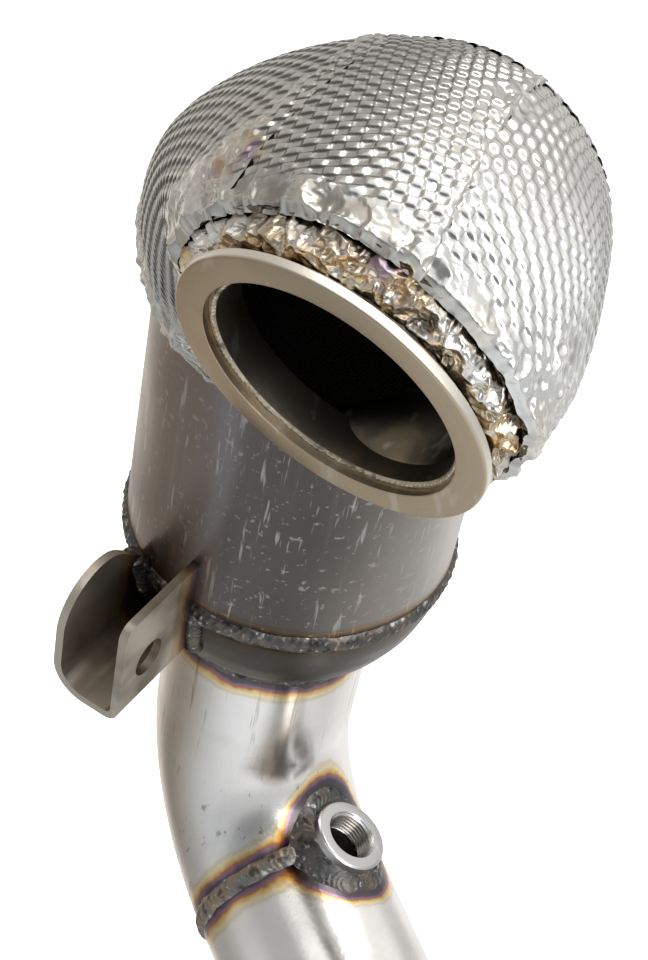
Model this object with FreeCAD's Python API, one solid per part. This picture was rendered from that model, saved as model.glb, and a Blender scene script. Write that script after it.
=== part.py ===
import FreeCAD, Part
import math
import os

# Sports-catalyst downpipe: V-band inlet, insulated inlet dome, catalyst can, outlet cone,
# mandrel-bent outlet pipe with an oxygen-sensor bung, and a folded support bracket.
#
# Everything is drawn about the can axis (z = 0 at the can's lower rim, +Z up, the inlet
# facing -Y) and moved at the end, so that the row's origin is the centre of the inlet
# flange's sealing face.

Vec = FreeCAD.Vector
Z = Vec(0, 0, 1)

# ---- driving dimensions, mm ----
CAN_R = 54.0            # catalyst can, outer radius
CAN_WALL = 1.5
CAN_TOP = 95.0          # can height above its lower rim

PIPE_R = 35.0           # 70 mm outlet pipe
PIPE_WALL = 1.5
CONE_DROP = 42.0        # the pressed cone's depth below the can
# outer radius of the cone against depth below the can: a rounded bowl, not a straight taper
CONE_PROFILE = [(54.0, 0.0), (53.9, 5.0), (53.0, 12.0), (50.8, 20.0), (46.9, 28.0),
                (41.6, 35.0), (36.6, 40.0), (35.0, 42.0)]
BEND_START = -91.2      # where the pipe leaves the can axis
BEND_R = 58.2           # centreline radius
BEND_DEG = 80.0
BEND_AZIMUTH = -31.24   # heading of the bent pipe, degrees from +X
TAIL_LENGTH = 92.0      # lower pipe after the joint weld
SIZED_LENGTH = 45.0      # end of the lower pipe, sized down to take a sleeve
SIZED_STEP = 0.5

FACE_CENTRE = Vec(39.5, -78.7, 133.4)   # inlet flange face centre
INLET_TILT = 19.34      # how far the inlet axis points below the horizontal, degrees
FLANGE_R = 46.7
RIM_WIDTH = 3.0         # cylindrical edge of the flange
FLANGE_DEPTH = 6.0
FLANGE_BACK_R = 42.0
REGISTER_R = 37.9       # counterbore that takes the mating flange's lip
REGISTER_DEPTH = 3.0
NECK_R = 37.5            # outside of the neck tube, in the flange behind the register
NECK_WALL = 1.3
NECK_END = 15.0         # the tube's inner end, behind the face

# The dome is a fan of closed sections that swing about a hinge line in the crotch between
# the can and the inlet. Each row: swing fraction, half width, inner and outer distance from
# the hinge, centre x, and how far the section's outer side leans to +x.
HINGE_Y, HINGE_Z = -58.0, 95.0
SWING_DEG = 90.0 + INLET_TILT
DOME_WALL = 2.0
DOME_TABLE = [(0.00, 54.0, 4.0, 112.0, 0.0, 0.0),
              (0.25, 49.5, 3.8, 110.0, 8.0, 5.0),
              (0.50, 45.0, 3.6, 102.0, 20.0, 8.0),
              (0.75, 46.5, 3.3, 93.0, 31.0, 4.0),
              (1.00, 40.0, 3.1, 83.1, 39.5, 0.0)]
SKIN_TABLE = [(0.00, 60.6, 1.2, 117.6, 0.0, 0.0),
              (0.25, 64.5, 1.2, 117.6, 6.8, 9.0),
              (0.50, 65.2, 1.2, 112.5, 16.3, 12.5),
              (0.75, 62.1, 1.2, 103.0, 29.9, 6.9),
              (1.00, 51.6, 1.2, 94.0, 40.6, 0.0)]
DOME_POWER = 2.0        # 2 is an ellipse, less is more pointed
SKIN_POWER = 1.78
SKIN_ENVELOPE = 0.9     # foil with the height of its embossing
SEAM_AT = 0.5           # swing fraction of the seam between the two pressed shells
HEM_DROP = 3.0          # how far the foil's hem turns down round the can
LEFT_SEAM_X = -3.0      # foil seam, a plane of constant x
RIGHT_SEAM_X = 40.8     # foil seam, x + 0.2 y = this
RIGHT_SEAM_SLOPE = 0.2
REAR_SEAM_Y = 12.0

BRICK_R, BRICK_BOTTOM, BRICK_TOP = 50.0, 10.0, 86.0
MANTLE_WALL, MANTLE_LIP = 1.2, 4.0
RING_HEIGHT = 8.0

BUNG_R = 13.7           # oxygen sensor bung, M18 x 1.5
BUNG_MINOR_R = 8.25
BUNG_MOUTH_R = 9.4
BUNG_FACE = 40.9        # face, from the pipe axis
BUNG_BASE = 31.0
BUNG_AXIS = Vec(0.330, 0.234, 0.914)
BUNG_PAST_JOINT = 1.2

PLATE = 2.8             # bracket sheet
FRONT_EAR_X = -1.4      # outer face of the holed ear
BACK_EAR_X = -26.4
WEB_Z = -21.9           # under side of the bracket's web
EAR_TOP = 20.0
EAR_OUT_Y = -90.5
BRACKET_BEND_R = 5.0
BACK_BEND_R = 12.0       # the web sweeps up into the back ear
BACK_SLOPE = math.radians(42)   # how steeply the back ear's top falls towards the can
FRONT_CORNER_R = 5.0
BACK_CORNER_R = 17.0
BRACKET_HOLE_R = 6.5
BRACKET_HOLE_Y, BRACKET_HOLE_Z = -76.6, -2.8

# ---- axes ----
tilt = math.radians(INLET_TILT)
INTO = Vec(0, math.cos(tilt), math.sin(tilt))        # from the inlet face into the part
azimuth = math.radians(BEND_AZIMUTH)
HEADING = Vec(math.cos(azimuth), math.sin(azimuth), 0)
bend = math.radians(BEND_DEG)
BEND_CENTRE = HEADING * BEND_R + Z * BEND_START
BEND_AXIS = HEADING.cross(Z)
JOINT = BEND_CENTRE - HEADING * (BEND_R * math.cos(bend)) - Z * (BEND_R * math.sin(bend))
TAIL = HEADING * math.sin(bend) - Z * math.cos(bend)  # direction of the lower pipe

nodes = {}


def turned(profile):
    """Solid of revolution about +Z from (radius, height) points."""
    wire = Part.makePolygon([Vec(r, 0, h) for r, h in profile + profile[:1]])
    return Part.Face(wire).revolve(Vec(0, 0, 0), Z, 360)


def placed(shape, base, direction):
    """The shape with its +Z turned to a direction and its origin at base."""
    out = shape.copy()
    out.Placement = FreeCAD.Placement(base, FreeCAD.Rotation(Z, direction))
    return out


def bead(radius, width, height, steps=8):
    """Profile of a weld bead standing on a cylinder, centred on height 0."""
    arc = []
    for i in range(steps + 1):
        a = math.pi * i / steps
        arc.append((radius + height * math.sin(a), -0.5 * width * math.cos(a)))
    return [(radius - 0.01, -0.5 * width)] + arc[1:-1] + [(radius - 0.01, 0.5 * width)]


def table_at(table, fraction):
    """Smooth interpolation of a section table (Catmull-Rom)."""
    step = table[1][0] - table[0][0]
    i = min(int(fraction / step), len(table) - 2)
    t = fraction / step - i
    rows = [table[max(0, min(len(table) - 1, j))] for j in (i - 1, i, i + 1, i + 2)]
    out = []
    for a, b, c, d in zip(*[row[1:] for row in rows]):
        m0, m1 = 0.5 * (c - a), 0.5 * (d - b)
        if i == 0:
            m0 = c - b
        if i == len(table) - 2:
            m1 = c - b
        out.append((2 * t**3 - 3 * t**2 + 1) * b + (t**3 - 2 * t**2 + t) * m0
                   + (3 * t**2 - 2 * t**3) * c + (t**3 - t**2) * m1)
    return out


def section_points(table, power, fraction, grow=0.0, grow_inner=None, shift=0.0, count=36):
    """Closed section of the fan, grown outwards and shifted along the flow."""
    half, inner, outer, centre_x, lean = table_at(table, fraction)
    inner -= grow if grow_inner is None else grow_inner
    outer += grow
    half += grow
    swing = math.radians(SWING_DEG) * fraction
    radial = Vec(0, math.cos(swing), math.sin(swing))
    flow = Vec(0, -math.sin(swing), math.cos(swing))
    points = []
    for k in range(count):
        a = 2 * math.pi * k / count
        c, s = math.cos(a), math.sin(a)
        across = math.copysign(abs(c)**(2 / power), c)
        up = math.copysign(abs(s)**(2 / power), s)
        x = centre_x + half * across + lean * up
        rho = 0.5 * (inner + outer) + 0.5 * (outer - inner) * up
        points.append(Vec(x, HINGE_Y, HINGE_Z) + radial * rho + flow * shift)
    return points


def section(*args, **words):
    curve = Part.BSplineCurve()
    curve.interpolate(Points=section_points(*args, **words), PeriodicFlag=True)
    return Part.Wire([curve.toShape()])


def fan(table, power, start, end, grow=0.0, grow_inner=None, sections=9):
    """Closed solid through the sections between two swing fractions."""
    rows = []
    for k in range(sections):
        ring = section_points(table, power, start + (end - start) * k / (sections - 1), grow, grow_inner)
        rows.append(ring + ring[:1])
    surface = Part.BSplineSurface()
    surface.interpolate(rows)
    u0, u1, v0, v1 = surface.bounds()
    caps = [Part.Face(Part.Wire([surface.uIso(u).toShape()])) for u in (u0, u1)]
    shell = Part.makeShell([surface.toShape()] + caps)
    shell.sewShape()
    solid = Part.makeSolid(shell)
    if solid.Volume < 0:
        solid.reverse()
    return solid


def half_space(point, normal, size=500.0):
    """A big block on the side of a plane that the normal points to."""
    return placed(Part.makeBox(size, size, size, Vec(-size / 2, -size / 2, 0)), point, normal)


def biggest(shape):
    return max(shape.Solids, key=lambda s: s.Volume)


# ---- inlet: V-band flange, neck tube and their welds ----
flange = turned([(REGISTER_R, 0), (FLANGE_R - 0.5, 0), (FLANGE_R, 0.5), (FLANGE_R, RIM_WIDTH),
                 (FLANGE_BACK_R, FLANGE_DEPTH), (NECK_R, FLANGE_DEPTH), (NECK_R, REGISTER_DEPTH),
                 (REGISTER_R, REGISTER_DEPTH)])
nodes["inlet_flange"] = placed(flange, FACE_CENTRE, INTO)

lip_r = NECK_R - NECK_WALL
lip_weld = turned([(lip_r, REGISTER_DEPTH + 0.35), (lip_r + 0.5, REGISTER_DEPTH),
                   (NECK_R, REGISTER_DEPTH),
                   (NECK_R, REGISTER_DEPTH + 1.4), (lip_r, REGISTER_DEPTH + 1.4)])
nodes["inlet_lip_weld"] = placed(lip_weld, FACE_CENTRE, INTO)
neck = turned([(lip_r, REGISTER_DEPTH + 1.4), (NECK_R, REGISTER_DEPTH + 1.4),
               (NECK_R, NECK_END), (lip_r, NECK_END)])
nodes["inlet_neck_tube"] = placed(neck, FACE_CENTRE, INTO)
neck_plane = (Vec(0, HINGE_Y, HINGE_Z) - FACE_CENTRE).dot(INTO)    # depth of the fan's last section
neck_weld_ring = turned([(NECK_R, FLANGE_DEPTH), (FLANGE_BACK_R - 0.4, FLANGE_DEPTH),
                         (FLANGE_BACK_R - 1.2, neck_plane), (NECK_R, neck_plane)])
nodes["neck_weld"] = placed(neck_weld_ring, FACE_CENTRE, INTO)

# ---- inlet dome: two pressed shells and their seam ----
dome_solid = fan(DOME_TABLE, DOME_POWER, 0, 1)
dome_skin = dome_solid.cut(fan(DOME_TABLE, DOME_POWER, 0, 1, -DOME_WALL))
half_swing = math.radians(SWING_DEG) * SEAM_AT
front_of_seam = half_space(Vec(0, HINGE_Y, HINGE_Z), Vec(0, -math.sin(half_swing), math.cos(half_swing)))
nodes["dome_front_shell"] = dome_skin.common(front_of_seam)
nodes["dome_rear_shell"] = dome_skin.cut(front_of_seam)
seam = fan(DOME_TABLE, DOME_POWER, SEAM_AT - 0.016, SEAM_AT + 0.016, 1.5, 0.9, 5)
nodes["dome_seam_weld"] = seam.cut(dome_solid)

# ---- catalyst can, brick and its mantle ----
nodes["catalyst_can"] = turned([(CAN_R - CAN_WALL, 0), (CAN_R, 0), (CAN_R, CAN_TOP),
                                (CAN_R - CAN_WALL, CAN_TOP)])
can_bar = Part.makeCylinder(CAN_R, CAN_TOP)
nodes["can_inlet_weld"] = turned([(CAN_R, CAN_TOP - 3.5), (CAN_R + 0.5, CAN_TOP - 2.8),
                                  (CAN_R + 0.8, CAN_TOP - 1.5), (CAN_R + 0.8, CAN_TOP), (CAN_R, CAN_TOP)])
nodes["catalyst_brick"] = Part.makeCylinder(BRICK_R, BRICK_TOP - BRICK_BOTTOM, Vec(0, 0, BRICK_BOTTOM))
mantle_r = BRICK_R + MANTLE_WALL
nodes["brick_mantle"] = turned([(BRICK_R, BRICK_BOTTOM - MANTLE_LIP), (mantle_r, BRICK_BOTTOM - MANTLE_LIP),
                                (mantle_r, BRICK_TOP + MANTLE_LIP), (BRICK_R, BRICK_TOP + MANTLE_LIP)])
for name, base in (("brick_ring_lower", BRICK_BOTTOM), ("brick_ring_upper", BRICK_TOP - RING_HEIGHT)):
    nodes[name] = turned([(mantle_r, base), (CAN_R - CAN_WALL, base),
                          (CAN_R - CAN_WALL, base + RING_HEIGHT), (mantle_r, base + RING_HEIGHT)])

# ---- outlet cone ----
outer_curve, inner_curve = [], []
for i, (r, depth) in enumerate(CONE_PROFILE):
    ra, da = CONE_PROFILE[max(i - 1, 0)]
    rb, db = CONE_PROFILE[min(i + 1, len(CONE_PROFILE) - 1)]
    along = Vec(rb - ra, 0, -(db - da)).normalize()
    if i in (0, len(CONE_PROFILE) - 1):
        along = Vec(0, 0, -1)
    outer_curve.append(Vec(r, 0, -depth))
    inner_curve.append(Vec(r, 0, -depth) + Vec(along.z, 0, -along.x) * PIPE_WALL)


def spline(points):
    curve = Part.BSplineCurve()
    curve.interpolate(points)
    return curve.toShape()


def turned_edges(edges):
    return Part.Face(Part.Wire(edges)).revolve(Vec(0, 0, 0), Z, 360)


nodes["outlet_cone"] = turned_edges([spline(outer_curve), Part.makeLine(outer_curve[-1], inner_curve[-1]),
                                     spline(inner_curve[::-1]), Part.makeLine(inner_curve[0], outer_curve[0])])
cone_bar = turned_edges([spline(outer_curve), Part.makeLine(outer_curve[-1], Vec(0, 0, -CONE_DROP)),
                         Part.makeLine(Vec(0, 0, -CONE_DROP), Vec(0, 0, 0)),
                         Part.makeLine(Vec(0, 0, 0), outer_curve[0])])

# ---- outlet pipes ----


def bent_bar(radius):
    disc = Part.Face(Part.Wire(Part.makeCircle(radius, Vec(0, 0, BEND_START), Z)))
    straight = Part.makeCylinder(radius, -CONE_DROP - BEND_START, Vec(0, 0, BEND_START))
    return straight.fuse(disc.revolve(BEND_CENTRE, BEND_AXIS, BEND_DEG)).removeSplitter()


upper_bar = bent_bar(PIPE_R)
sized_from = TAIL_LENGTH - SIZED_LENGTH
sized_r = PIPE_R - SIZED_STEP
lower_bar = placed(turned([(0, 0), (PIPE_R, 0), (PIPE_R, sized_from - 4), (sized_r, sized_from),
                           (sized_r, TAIL_LENGTH), (0, TAIL_LENGTH)]), JOINT, TAIL)
bars = upper_bar.fuse(lower_bar)
bung_axis = (BUNG_AXIS - TAIL * BUNG_AXIS.dot(TAIL)).normalize()
bung_root = JOINT + TAIL * BUNG_PAST_JOINT            # on the pipe axis, under the bung
bung_bar = Part.makeCylinder(BUNG_R, BUNG_FACE - BUNG_BASE, bung_root + bung_axis * BUNG_BASE, bung_axis)
upper_pipe = upper_bar.cut(bent_bar(PIPE_R - PIPE_WALL)).cut(bung_bar)
nodes["upper_pipe"] = biggest(upper_pipe)
bore_r = PIPE_R - PIPE_WALL
lower_bore = placed(turned([(0, 0), (bore_r, 0), (bore_r, sized_from - 4), (bore_r - SIZED_STEP, sized_from),
                            (bore_r - SIZED_STEP, TAIL_LENGTH), (0, TAIL_LENGTH)]), JOINT, TAIL)
nodes["lower_pipe"] = biggest(lower_bar.cut(lower_bore).cut(bung_bar))

bung = turned([(BUNG_MOUTH_R, BUNG_FACE), (BUNG_R - 0.8, BUNG_FACE), (BUNG_R, BUNG_FACE - 0.8),
               (BUNG_R, BUNG_BASE), (BUNG_MINOR_R, BUNG_BASE), (BUNG_MINOR_R, BUNG_FACE - 1.1)])
nodes["sensor_bung"] = placed(bung, bung_root, bung_axis)
pad = Part.makeCone(21.0, BUNG_R + 0.3, 10.6, bung_root + bung_axis * 28.0, bung_axis)
bung_weld = biggest(pad.cut(bars).cut(bung_bar))
nodes["sensor_bung_weld"] = bung_weld

joint_ring = placed(turned(bead(PIPE_R, 6.0, 1.8)), JOINT, TAIL)
joint_ring = joint_ring.cut(bars).cut(bung_bar).cut(bung_weld)
nodes["joint_weld"] = biggest(joint_ring)
pipe_ring = placed(turned(bead(PIPE_R, 6.0, 1.6)), Vec(0, 0, -CONE_DROP), Z)
nodes["cone_pipe_weld"] = pipe_ring.cut(upper_bar).cut(cone_bar)

# ---- support bracket: a folded U-channel, open at the top, coped to the can and cone ----


def ear_outline(corner_r, slope, x0, x1):
    """Ear as a prism between two x planes: rounded at its outer top corner, then falling at a slope."""
    y0, y1 = -40.0, EAR_OUT_Y
    z0, z1 = WEB_Z, EAR_TOP
    centre = Vec(x0, y1 + corner_r, z1 - corner_r)
    over, half_way = (centre + Vec(0, corner_r * math.sin(a), corner_r * math.cos(a))
                      for a in (slope, 0.5 * slope - math.pi / 4))
    fall = (y0 - over.y) * math.tan(slope)
    edges = [Part.makeLine(Vec(x0, y0, z0), Vec(x0, y1, z0)),
             Part.makeLine(Vec(x0, y1, z0), Vec(x0, y1, z1 - corner_r)),
             Part.Arc(Vec(x0, y1, z1 - corner_r), half_way, over).toShape(),
             Part.makeLine(over, Vec(x0, y0, over.z - fall)),
             Part.makeLine(Vec(x0, y0, over.z - fall), Vec(x0, y0, z0))]
    return Part.Face(Part.Wire(edges)).extrude(Vec(x1 - x0, 0, 0))


def channel_bar(x0, x1, z0, front_r, back_r):
    """Solid bar between two x planes, with its two lower edges rounded by different radii."""
    bar = Part.makeBox(x1 - x0, 40.0 - EAR_OUT_Y + 2, 60, Vec(x0, EAR_OUT_Y - 1, z0))
    for x, radius in ((x1, front_r), (x0, back_r)):
        edge = [e for e in bar.Edges if e.BoundBox.YLength > 1
                and abs(e.BoundBox.ZMax - z0) < 1e-6 and abs(e.BoundBox.XMax - x) < 1e-6]
        bar = bar.makeFillet(radius, edge)
    return bar


channel = channel_bar(BACK_EAR_X, FRONT_EAR_X, WEB_Z, BRACKET_BEND_R, BACK_BEND_R)
channel = channel.cut(channel_bar(BACK_EAR_X + PLATE, FRONT_EAR_X - PLATE, WEB_Z + PLATE,
                                  BRACKET_BEND_R - PLATE, BACK_BEND_R - PLATE))
middle_x = 0.5 * (FRONT_EAR_X + BACK_EAR_X)
front_half = channel.common(ear_outline(FRONT_CORNER_R, 0.0, middle_x, FRONT_EAR_X))
back_half = channel.common(ear_outline(BACK_CORNER_R, BACK_SLOPE, BACK_EAR_X, middle_x))
bracket = front_half.fuse(back_half).removeSplitter()
hole = Part.makeCylinder(BRACKET_HOLE_R, 8, Vec(FRONT_EAR_X - 6, BRACKET_HOLE_Y, BRACKET_HOLE_Z), Vec(1, 0, 0))
ring_weld = placed(turned(bead(CAN_R, 6.0, 1.9)), Vec(0, 0, -0.5), Z)
bracket = bracket.cut(hole).cut(can_bar).cut(cone_bar).cut(upper_bar)
nodes["mounting_bracket"] = biggest(bracket)
nodes["cone_can_weld"] = biggest(ring_weld.cut(can_bar).cut(cone_bar).cut(nodes["mounting_bracket"]))


def fillet_blob(x, radius, z0, z1, reach=0.0):
    """Weld run where an ear meets the can and cone; its top end can reach out along the ear."""
    run = None
    steps = 7
    for i in range(steps):
        z = z0 + (z1 - z0) * i / (steps - 1)
        wall = CAN_R
        for (ra, da), (rb, db) in zip(CONE_PROFILE, CONE_PROFILE[1:]):
            if da <= -z <= db:
                wall = ra + (rb - ra) * (-z - da) / (db - da)
        y = -math.sqrt(wall**2 - x**2) - reach * (i / (steps - 1))**2
        blob = Part.makeSphere(radius, Vec(x, y, z))
        run = blob if run is None else run.fuse(blob)
    return biggest(run.cut(can_bar).cut(cone_bar).cut(upper_bar).cut(nodes["mounting_bracket"])
                   .cut(nodes["cone_can_weld"]))


nodes["bracket_weld_back"] = fillet_blob(BACK_EAR_X + 1.0, 4.2, -15.0, 7.0, 6.0)
nodes["bracket_weld_front"] = fillet_blob(FRONT_EAR_X + 0.6, 4.0, -20.0, 4.0)

# ---- insulation mat and its embossed foil ----
hem_outline = Part.Face(section(SKIN_TABLE, SKIN_POWER, 0, -0.3))
hem_hole = Part.makeCylinder(CAN_R + 0.8, 2 * HEM_DROP, Vec(0, 0, CAN_TOP - 1.5 * HEM_DROP))
nodes["heat_shield_hem"] = biggest(hem_outline.extrude(Vec(0, 0, -HEM_DROP)).cut(hem_hole))

skin_inner = fan(SKIN_TABLE, SKIN_POWER, 0, 1, -SKIN_ENVELOPE)
skin = fan(SKIN_TABLE, SKIN_POWER, 0, 1).cut(skin_inner)
mat = skin_inner.cut(dome_solid).cut(nodes["dome_seam_weld"])
nodes["insulation_mat_front"] = biggest(mat.common(front_of_seam))
nodes["insulation_mat_rear"] = biggest(mat.cut(front_of_seam))

left_side = half_space(Vec(LEFT_SEAM_X, 0, 0), Vec(-1, 0, 0))
right_side = half_space(Vec(RIGHT_SEAM_X, 0, 0), Vec(1, RIGHT_SEAM_SLOPE, 0).normalize())
rear_side = half_space(Vec(0, REAR_SEAM_Y, 0), Vec(0, 1, 0))
front_skin = skin.cut(rear_side)
nodes["heat_shield_rear"] = biggest(skin.common(rear_side))
nodes["heat_shield_left"] = biggest(front_skin.common(left_side))
nodes["heat_shield_right"] = biggest(front_skin.common(right_side))
nodes["heat_shield_centre"] = biggest(front_skin.cut(left_side).cut(right_side))

collar_back = section(SKIN_TABLE, SKIN_POWER, 1)
collar_front = section(SKIN_TABLE, SKIN_POWER, 1, -3.0, -0.5, neck_plane - FLANGE_DEPTH)
collar = Part.makeLoft([collar_back, collar_front], True, True)
collar_hole = placed(Part.makeCylinder(FLANGE_BACK_R, 20, Vec(0, 0, -2)), FACE_CENTRE, INTO)
nodes["heat_shield_collar"] = biggest(collar.cut(collar_hole))

# ---- move to the row's origin and write ----
os.makedirs("parts", exist_ok=True)
for name, shape in nodes.items():
    if len(shape.Solids) == 1:
        shape = shape.Solids[0]
    shape = shape.copy()
    shape.translate(FACE_CENTRE * -1)
    if not shape.isValid():
        print("not valid:", name)
    box = shape.BoundBox
    print("%-22s solids %d volume %9.0f  x %7.1f %7.1f  y %7.1f %7.1f  z %7.1f %7.1f" % (
        name, len(shape.Solids), shape.Volume, box.XMin, box.XMax, box.YMin, box.YMax, box.ZMin, box.ZMax))
    shape.exportStep("parts/%s.step" % name)
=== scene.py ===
"""Looks of the catalyst downpipe. The inlet flange's face centre is the origin, +Z is up,
and the inlet faces -Y. Lengths in the tables are millimetres and are scaled once, in mesh()."""
import math

import bmesh
import bpy
import numpy as np
from mathutils import Matrix, Vector


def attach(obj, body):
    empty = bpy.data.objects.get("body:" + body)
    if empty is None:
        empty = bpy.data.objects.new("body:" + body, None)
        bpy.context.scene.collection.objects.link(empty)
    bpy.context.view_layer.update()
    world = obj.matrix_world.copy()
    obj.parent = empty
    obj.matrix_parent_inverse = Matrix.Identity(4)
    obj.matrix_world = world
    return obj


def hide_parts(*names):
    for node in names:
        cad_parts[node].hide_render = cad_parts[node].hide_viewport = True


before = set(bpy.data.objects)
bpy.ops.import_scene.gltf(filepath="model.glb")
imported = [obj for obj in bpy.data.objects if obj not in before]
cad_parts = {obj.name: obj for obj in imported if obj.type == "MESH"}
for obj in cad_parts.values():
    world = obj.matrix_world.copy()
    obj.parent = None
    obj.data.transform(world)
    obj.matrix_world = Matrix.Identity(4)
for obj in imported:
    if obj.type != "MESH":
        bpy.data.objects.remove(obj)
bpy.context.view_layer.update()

MM = 0.001
rng = np.random.RandomState(7)

# ---- driving dimensions, mm, as in the CAD ----
FACE_CENTRE = np.array([39.5, -78.7, 133.4])     # from the can's lower rim centre
TILT = math.radians(19.34)
INTO = np.array([0.0, math.cos(TILT), math.sin(TILT)])
FLANGE_R, RIM_WIDTH, FLANGE_DEPTH, FLANGE_BACK_R = 46.7, 3.0, 6.0, 42.0
REGISTER_R, REGISTER_DEPTH, NECK_BORE_R, NECK_R, NECK_END = 37.9, 3.0, 36.2, 37.5, 15.0
CAN_R, CAN_TOP, CAN_WALL = 54.0, 95.0, 1.5
PIPE_R, PIPE_WALL, CONE_DROP = 35.0, 1.5, 42.0
CONE_PROFILE = [(54.0, 0.0), (53.9, 5.0), (53.0, 12.0), (50.8, 20.0), (46.9, 28.0),
                (41.6, 35.0), (36.6, 40.0), (35.0, 42.0)]
BEND_START, BEND_R, BEND_ANGLE = -91.2, 58.2, math.radians(80.0)
AZIMUTH = math.radians(-31.24)
HINGE = np.array([0.0, -58.0, 95.0])
SWING = math.radians(90.0) + TILT
SKIN = np.array([[60.6, 1.2, 117.6, 0.0, 0.0],   # half width, inner, outer, centre x, lean
                 [64.5, 1.2, 117.6, 6.8, 9.0],
                 [65.2, 1.2, 112.5, 16.3, 12.5],
                 [62.1, 1.2, 103.0, 29.9, 6.9],
                 [51.6, 1.2, 94.0, 40.6, 0.0]])
SKIN_POWER = 1.78
EMBOSS_ACROSS, EMBOSS_DOWN = 3.5, 2.8      # spacing of the foil's pressed bumps
HEM_DROP = 3.0
LIP_AT = 0.962          # swing fraction where the foil panels end and the collar begins
BUNG_R, BUNG_MINOR_R, BUNG_MOUTH_R, BUNG_FACE, BUNG_BASE = 13.7, 8.25, 9.4, 40.9, 31.0
BUNG_AXIS, BUNG_PAST_JOINT = np.array([0.330, 0.234, 0.914]), 1.2

HEADING = np.array([math.cos(AZIMUTH), math.sin(AZIMUTH), 0.0])
UP = np.array([0.0, 0.0, 1.0])
BEND_CENTRE = HEADING * BEND_R + UP * BEND_START
JOINT = BEND_CENTRE - BEND_R * (HEADING * math.cos(BEND_ANGLE) + UP * math.sin(BEND_ANGLE))
TAIL = HEADING * math.sin(BEND_ANGLE) - UP * math.cos(BEND_ANGLE)
BUNG_AXIS = BUNG_AXIS - TAIL * BUNG_AXIS.dot(TAIL)
BUNG_AXIS /= np.linalg.norm(BUNG_AXIS)
BUNG_ROOT = JOINT + TAIL * BUNG_PAST_JOINT
BUNG_FOOT = BUNG_ROOT + BUNG_AXIS * PIPE_R       # where the bung meets the pipe
NECK_HUB = FACE_CENTRE + INTO * 16.0              # the foil's lip rolls in towards this point


# ---------------------------------------------------------------- noise, vectorised
LATTICE = rng.rand(64, 64, 64) * 2 - 1


def noise(p, size, seed=0):
    """Smooth value noise in -1..1 with features of one size, at points (..., 3)."""
    q = np.asarray(p) / size + seed * 17.31
    i = np.floor(q).astype(int)
    t = q - i
    t = t * t * (3 - 2 * t)
    out = 0
    for dx in (0, 1):
        for dy in (0, 1):
            for dz in (0, 1):
                w = (np.where(dx, t[..., 0], 1 - t[..., 0]) * np.where(dy, t[..., 1], 1 - t[..., 1])
                     * np.where(dz, t[..., 2], 1 - t[..., 2]))
                out = out + w * LATTICE[(i[..., 0] + dx) % 64, (i[..., 1] + dy) % 64, (i[..., 2] + dz) % 64]
    return out


def creases(p, size, seed=0):
    """Crumpled-foil height, 0..1: sharp ridges between smooth hollows."""
    warp = np.stack([noise(p, size * 1.3, seed + k) for k in (5, 6, 7)], -1) * size * 0.35
    return 1 - np.abs(noise(p + warp, size, seed)) * 1.6


def smooth(x, a, b):
    t = np.clip((x - a) / (b - a), 0, 1)
    return t * t * (3 - 2 * t)


# ---------------------------------------------------------------- mesh helpers
def mesh(name, points, faces, sharp=40.0):
    """An object from points in can coordinates (mm)."""
    p = (np.asarray(points, float).reshape(-1, 3) - FACE_CENTRE) * MM
    data = bpy.data.meshes.new(name)
    faces = np.asarray(faces)
    n, k = faces.shape
    data.vertices.add(len(p))
    data.vertices.foreach_set("co", p.astype(np.float32).ravel())
    data.loops.add(n * k)
    data.loops.foreach_set("vertex_index", faces.astype(np.int32).ravel())
    data.polygons.add(n)
    data.polygons.foreach_set("loop_start", np.arange(0, n * k, k, dtype=np.int32))
    data.update(calc_edges=True)
    data.validate()
    data.shade_smooth()
    data.set_sharp_from_angle(angle=math.radians(sharp))
    obj = bpy.data.objects.new(name, data)
    bpy.context.scene.collection.objects.link(obj)
    return obj


def grid_faces(rows, cols, wrap_rows=False, wrap_cols=False, flip=False):
    r = np.arange(rows if wrap_rows else rows - 1)[:, None]
    c = np.arange(cols if wrap_cols else cols - 1)[None]
    r1, c1 = (r + 1) % rows, (c + 1) % cols
    quads = np.stack([r * cols + c, r1 * cols + c, r1 * cols + c1, r * cols + c1], -1).reshape(-1, 4)
    return quads[:, ::-1] if flip else quads


def frame_of(axis):
    axis = np.asarray(axis, float) / np.linalg.norm(axis)
    side = np.cross(axis, UP if abs(axis[2]) < 0.9 else np.array([1.0, 0, 0]))
    side /= np.linalg.norm(side)
    return side, np.cross(axis, side), axis


def rounded(profile, radius):
    """Closed (r, h) profile with its corners rounded."""
    steps = 3
    pts = np.asarray(profile, float)
    out = []
    for i in range(len(pts)):
        a, b, c = pts[i - 1], pts[i], pts[(i + 1) % len(pts)]
        u, w = a - b, c - b
        lu, lw = np.linalg.norm(u), np.linalg.norm(w)
        k = min(radius, 0.45 * lu, 0.45 * lw)
        for j in range(steps + 1):
            t = j / steps
            out.append((1 - t)**2 * (b + u / lu * k) + 2 * t * (1 - t) * b + t**2 * (b + w / lw * k))
    return out


def lathe(name, profile, base, axis, segments, wobble=None):
    """Surface of revolution of an (r, h) profile; h runs along the axis from base."""
    prof = np.asarray(profile, float)
    a = np.linspace(0, 2 * np.pi, segments, endpoint=False)
    side, up, along = frame_of(axis)
    r = prof[None, :, 0] + (wobble(a[:, None], prof[None, :, 0], prof[None, :, 1]) if wobble else 0)
    ring = np.cos(a)[:, None, None] * side + np.sin(a)[:, None, None] * up
    p = np.asarray(base) + r[..., None] * ring + prof[None, :, 1, None] * along
    return mesh(name, p, grid_faces(segments, len(prof), True, True))


def finish_piece(obj, material, node):
    obj.data.materials.clear()
    obj.data.materials.append(material)
    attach(obj, "root")
    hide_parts(node)


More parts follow.
